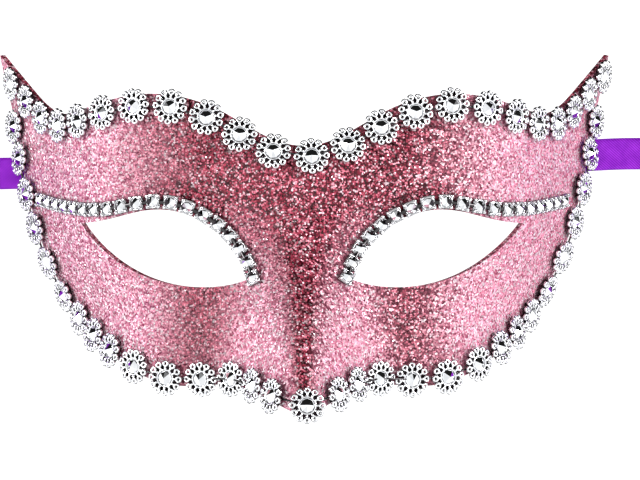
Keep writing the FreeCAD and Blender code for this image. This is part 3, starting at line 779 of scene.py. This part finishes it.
def lathe(profile, sides):
    """A closed ring turned about Z from a closed profile of (radius, height)."""
    verts = []
    faces = []
    count = len(profile)
    for i in range(sides):
        angle = 2 * math.pi * i / sides
        for r, z in profile:
            verts.append(Vector((r * math.cos(angle), r * math.sin(angle), z)))
    for i in range(sides):
        for k in range(count):
            j = (i + 1) % sides
            n = (k + 1) % count
            faces.append((i * count + k, j * count + k, j * count + n, i * count + n))
    return verts, faces


OPEN_RIM = (4.6, 5.1)       # mm from the middle, where a flower's hollows open to the light
RIM_LIGHT = 0.7             # how much less painted shade they carry there
SHADE_FALL = (0.2, 0.9)    # of the fall below the crest, where the painted shade starts and is full


def template(name, parts, crest, fall):
    """One metal setting as a mesh; its hollows, which lie well below the crest, are marked for painted
    shade.
    """
    verts = []
    faces = []
    for part_verts, part_faces in parts:
        base = len(verts)
        verts += part_verts
        faces += [tuple(base + i for i in face) for face in part_faces]
    thing = mesh_object(name, [v * MM for v in verts], faces)
    hollow = thing.data.attributes.new("hollow", "FLOAT", "POINT")
    for k, vert in enumerate(verts):
        # painted shade: deeper below the crest is darker, and it is lighter at the open outer rim
        closed = 1.0 - RIM_LIGHT * soft_step(*OPEN_RIM, vert.xy.length)
        hollow.data[k].value = closed * soft_step(*SHADE_FALL, (crest - vert.z) / fall)
    recalculate(thing)
    return thing


PETAL_TOP = 2.3
SPOKE_DROP = 0.42                   # of the spoke's middle line below the petal's top
SPOKE_WIRE = (0.24, 6, 0.36)        # radius across, sides, radius up
LOOP_WIRE = (0.37, 8, 0.45)
LOOP_STEPS = 14
LOOP_MIDDLE = 4.30
LOOP_REACH = 0.68
LOOP_FLARE = 0.22                   # how much wider the loop is at its outer end
LOOP_HIGHEST = 4.0                  # how far out the loop is at its highest
LOOP_DROOP = 0.3
PETAL_FALL = 1.6
BEZEL_TOP = 2.0
BEZEL_FALL = 0.8
ROUND_SIDES = 24
FACETS = 8
GIRDLE = [(1.0, 0.0), (1.0, 0.16), (0.88, 0.30)]    # share of the stone's radius and of its rise
FACET_MARK = 0.5                    # a facet that faces up more than this can carry the painted dark reflection


def petal_template():
    """One petal: a spoke from the bezel and a plump loop with a slit in it."""
    half_spoke = [(2.7, 0.14), (3.2, 0.08), (3.8, 0.14)]
    outline = half_spoke + [(x, -y) for x, y in reversed(half_spoke)]
    spoke = [Vector((x, y, PETAL_TOP - SPOKE_DROP)) for x, y in outline]
    loop = []
    for k in range(LOOP_STEPS):
        a = 2 * math.pi * k / LOOP_STEPS
        reach = LOOP_MIDDLE + LOOP_REACH * math.cos(a)
        wide = LOOP_REACH * math.sin(a) * (1.0 + LOOP_FLARE * math.cos(a))
        droop = LOOP_DROOP * (reach - LOOP_HIGHEST) ** 2
        loop.append(Vector((reach, wide, PETAL_TOP - LOOP_WIRE[2] - droop)))
    return template("petal_form", [tube_loop(spoke, *SPOKE_WIRE), tube_loop(loop, *LOOP_WIRE)],
                    PETAL_TOP, PETAL_FALL)


def bezel_template():
    """The cup that holds the stone, its foot and the plate under the petals, which is darkened as
    painted shade.
    """
    cup = [(2.24, 1.3), (2.62, 1.3), (2.74, 1.6), (2.70, 1.9), (2.52, 2.04), (2.34, 1.98),
           (2.24, 1.85)]
    foot = [(0.02, 0.0), (1.6, 0.0), (2.2, 0.75), (4.3, 0.75), (4.4, 0.95), (4.3, 1.15),
            (2.6, 1.3), (0.02, 1.3)]
    return template("bezel_form", [lathe(cup, ROUND_SIDES), lathe(foot, ROUND_SIDES)],
                    BEZEL_TOP, BEZEL_FALL)


def stone_template(name, radius, rise, base, dark_reflection):
    """A pointed cut stone: eight facets to the point, a ring of break facets and a flat back.
    The upward facets of the listed sectors are painted dark: a painted reflection of dark
    surroundings."""
    verts = []
    for reach, share in GIRDLE:
        for k in range(FACETS):
            angle = 2 * math.pi * k / FACETS
            verts.append(Vector((radius * reach * math.cos(angle),
                                 radius * reach * math.sin(angle), base + rise * share)))
    verts.append(Vector((0.0, 0.0, base + rise)))
    point = len(verts) - 1
    faces = [tuple(range(FACETS - 1, -1, -1))]
    for k in range(FACETS):
        n = (k + 1) % FACETS
        faces.append((k, n, FACETS + n, FACETS + k))
        faces.append((FACETS + k, FACETS + n, 2 * FACETS + n, 2 * FACETS + k))
        faces.append((2 * FACETS + k, 2 * FACETS + n, point))
    thing = mesh_object(name, [v * MM for v in verts], faces, smooth=False)
    recalculate(thing)
    # marks the facets that get the painted dark reflection
    reflection_paint = thing.data.attributes.new("dark_reflection", "FLOAT", "FACE")
    for face in thing.data.polygons:
        middle = face.center
        sector = int(math.degrees(math.atan2(middle.y, middle.x)) % 360 / (360 / FACETS))
        dark = sector in dark_reflection and face.normal.z > FACET_MARK
        reflection_paint.data[face.index].value = 1.0 if dark else 0.0
    return thing


def rounded_box(centre, half, bevel):
    """A box with chamfered upright edges and a chamfered top rim."""
    outline = []
    for sx, sy in ((1, 1), (-1, 1), (-1, -1), (1, -1)):
        near = [(half.x, half.y - bevel), (half.x - bevel, half.y)]
        if sx * sy < 0:
            near.reverse()
        outline += [(sx * x, sy * y) for x, y in near]
    layers = [(-half.z, 0.0), (half.z - bevel, 0.0), (half.z, bevel)]
    verts = []
    for z, inset in layers:
        shrink_x = (half.x - inset) / half.x
        shrink_y = (half.y - inset) / half.y
        verts += [centre + Vector((x * shrink_x, y * shrink_y, z)) for x, y in outline]
    count = len(outline)
    last = count * (len(layers) - 1)
    faces = [tuple(range(count - 1, -1, -1)), tuple(last + i for i in range(count))]
    for low in range(0, last, count):
        for i in range(count):
            j = (i + 1) % count
            faces.append((low + i, low + j, low + count + j, low + count + i))
    return verts, faces


CUP_TOP = 1.9
CUP_FALL = 1.5
CUP_RING = [(1.76, 0.9), (2.0, 0.9), (2.02, 1.4), (1.9, 1.54), (1.76, 1.46)]    # radius, height
RING_SIDES = 16
CUP_FOOT = [(0.02, 0.0), (1.4, 0.0), (1.4, 0.62), (0.02, 0.62)]
FOOT_SIDES = 12
TRAY_MIDDLE = Vector((0.0, 0.0, 0.85))
TRAY_HALF = Vector((2.15, 2.15, 0.25))
TRAY_CHAMFER = 0.12
POST_PLACE = 1.68
POST_HEIGHT = 1.2
POST_HALF = Vector((0.42, 0.42, 0.6))
POST_CHAMFER = 0.14
CLAW_PLACE = 1.44
CLAW_HEIGHT = 1.86
CLAW_BALL = (0.36, 4, 7)            # radius, rings, sides


def cup_template():
    """A square chain cup: foot, tray, low ring round the stone and four posts with claws."""
    parts = [lathe(CUP_FOOT, FOOT_SIDES), rounded_box(TRAY_MIDDLE, TRAY_HALF, TRAY_CHAMFER),
             lathe(CUP_RING, RING_SIDES)]
    for sx in (-1, 1):
        for sy in (-1, 1):
            post = Vector((sx * POST_PLACE, sy * POST_PLACE, POST_HEIGHT))
            parts.append(rounded_box(post, POST_HALF, POST_CHAMFER))
            claw = Vector((sx * CLAW_PLACE, sy * CLAW_PLACE, CLAW_HEIGHT))
            parts.append(small_bead(claw, *CLAW_BALL))
    return template("cup_form", parts, CUP_TOP, CUP_FALL)


# ---------------------------------------------------------------------------
# The strips: each has its metal and its stones on the same seats
# ---------------------------------------------------------------------------
TILT = 0.05                 # radians, the most that a setting leans at random
PETAL_COUNT = 12
FLOWER_BAR = {"Bar radius": 0.3 * MM, "Bar rise": 1.5 * MM}
CHAIN_BAR = {"Bar radius": 0.8 * MM, "Bar rise": 0.85 * MM}
TRIM_SEEDS = {"top_trim": 3, "side_trim": 8}
CHAIN_SEED = 5
TRIM_STONE = (2.2, 1.55)    # radius and rise, mm
CHAIN_STONE = (1.7, 1.25)
# sectors with a painted dark reflection: none on the trim stones
TRIM_DARK_REFLECTED = ()
CHAIN_DARK_REFLECTED = (0, 7)       # of the eight sectors round a chain stone, whose upward facets carry a painted dark reflection

petal = petal_template()
bezel = bezel_template()
cup = cup_template()
big_stone = stone_template("big_stone_form", *TRIM_STONE, FLOWER_STONE_BASE, TRIM_DARK_REFLECTED)
small_stone = stone_template("small_stone_form", *CHAIN_STONE, CUP_STONE_BASE, CHAIN_DARK_REFLECTED)


def add_strip(node, places, seed, metal, tree, forms, stone):
    """The metal strip and the stones that stand for a node and its stones."""
    common = {"Tilt": TILT, "Seed": seed}
    strip = run_tree(seat_points(node + "_seats", places), tree, node + metal,
                     {**forms, **common, "Finish": SILVER})
    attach(strip, "mask")
    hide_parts(node)
    gems = run_tree(seat_points(node + "_stone_seats", places), STONE_TREE, node + "_gems",
                    {"Setting": stone, **common, "Finish": STONE})
    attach(gems, "mask")
    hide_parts(node + "_stones")


for node, places in (("top_trim", TOP_SEATS), ("side_trim", SIDE_SEATS)):
    flower = {"Petal": petal, "Bezel": bezel, "Petals": PETAL_COUNT, **FLOWER_BAR}
    add_strip(node, places, TRIM_SEEDS[node], "_flowers", FLOWER_TREE, flower, big_stone)

for hand, places in CHAIN_SEATS.items():
    add_strip(hand + "_eye_chain", places, CHAIN_SEED, "_cups", CUP_TREE,
              {"Setting": cup, **CHAIN_BAR}, small_stone)

for form in (petal, bezel, cup, big_stone, small_stone):
    bpy.data.objects.remove(form)

# ---------------------------------------------------------------------------
# Shell, cover, glued ribbon ends and pads
# ---------------------------------------------------------------------------
finish_with(nodes["mask_shell"], SHELL)
finish_with(nodes["glitter_cover"], GLITTER)
for hand in ("right", "left"):
    finish_with(nodes[hand + "_ribbon_end"], SATIN)
    finish_with(nodes[hand + "_ribbon_pad"], FELT)

# ---------------------------------------------------------------------------
# Floor, world and lights
# ---------------------------------------------------------------------------
FLOOR_DROP = -0.09          # m, clear of the ties when they swing back
FLOOR_HALF = 4.0            # m
STUDIO_WHITE = (0.97, 0.985, 1.0, 1.0)
DARK_UP = (0.34, 0.44)      # how far up the brow's dark band starts
DARK_OUT = (0.62, 0.74)     # how far out of the face it ends
HORIZON = (-0.05, 0.2)      # where the studio's white starts, except to the sides
SIDE_SHARE = 0.9
SIDE_RISE = (0.1, 0.8)      # from the middle to the sides
MIDDLE_LEVEL = 0.95
SIDE_LEVEL = 1.5
DIMMEST = 0.012
LAMP_SIZE = 0.3             # m
LAMPS = [
    # name, place in m, power in W
    ("right_light", (0.9, 0.1, 0.6), 6.0),
    ("left_light", (-0.9, 0.1, 0.55), 5.0),
]

corners = [(-FLOOR_HALF, -FLOOR_HALF), (FLOOR_HALF, -FLOOR_HALF),
           (FLOOR_HALF, FLOOR_HALF), (-FLOOR_HALF, FLOOR_HALF)]
floor = mesh_object("floor", [(x, y, FLOOR_DROP) for x, y in corners], [(0, 1, 2, 3)])
floor_material, _, floor_shader = new_material("pale_floor")
floor_shader.inputs["Base Color"].default_value = (0.3, 0.3, 0.3, 1.0)
floor_shader.inputs["Roughness"].default_value = 0.9
floor_shader.inputs["Emission Color"].default_value = (1.0, 1.0, 1.0, 1.0)
floor_shader.inputs["Emission Strength"].default_value = 0.9
floor.visible_glossy = False
floor.visible_diffuse = False
finish_with(floor, floor_material)


def studio_world():
    """A white studio, dark behind the brow and near the horizon except to the sides."""
    world = bpy.data.worlds.new("studio")
    world.use_nodes = True
    world.node_tree.nodes.clear()
    build = Nodes(world.node_tree)

    def eased(value, span, start=0.0, end=1.0):
        return map_range(build, value, *span, start, end, kind="SMOOTHSTEP")

    def sums(operation, one, two):
        return build.add("ShaderNodeMath", {"operation": operation}, _0=one, _1=two).outputs[0]

    way = build.add("ShaderNodeTexCoord").outputs["Generated"]
    faced = build.add("ShaderNodeMapping", {"vector_type": "POINT"}, Vector=way,
                      Rotation=(-LEAN, 0.0, 0.0))
    side, up, out = build.add("ShaderNodeSeparateXYZ", Vector=faced).outputs
    brow_dark = sums("MULTIPLY", eased(up, DARK_UP), eased(out, DARK_OUT, 1.0, 0.0))
    open_side = sums("MULTIPLY", sums("ABSOLUTE", side, 0.0), SIDE_SHARE)
    horizon = eased(sums("ADD", out, open_side), HORIZON)
    bright = sums("MULTIPLY", sums("SUBTRACT", 1.0, brow_dark), horizon)
    fill = sums("MULTIPLY", bright, eased(open_side, SIDE_RISE, MIDDLE_LEVEL, SIDE_LEVEL))
    ground = build.add("ShaderNodeBackground", Color=STUDIO_WHITE,
                       Strength=sums("ADD", fill, DIMMEST))
    build.add("ShaderNodeOutputWorld", _0=ground)
    return world


def area_light(name, place, power):
    """A square lamp that points at the mask."""
    data = bpy.data.lights.new(name, "AREA")
    data.energy = power
    data.size = LAMP_SIZE
    lamp = new_object(name, data)
    lamp.location = place
    lamp.rotation_euler = (Vector(place) * -1).to_track_quat("-Z", "Y").to_euler()


bpy.context.scene.world = studio_world()
for lamp in LAMPS:
    area_light(*lamp)

bpy.context.scene.view_settings.view_transform = "Standard"
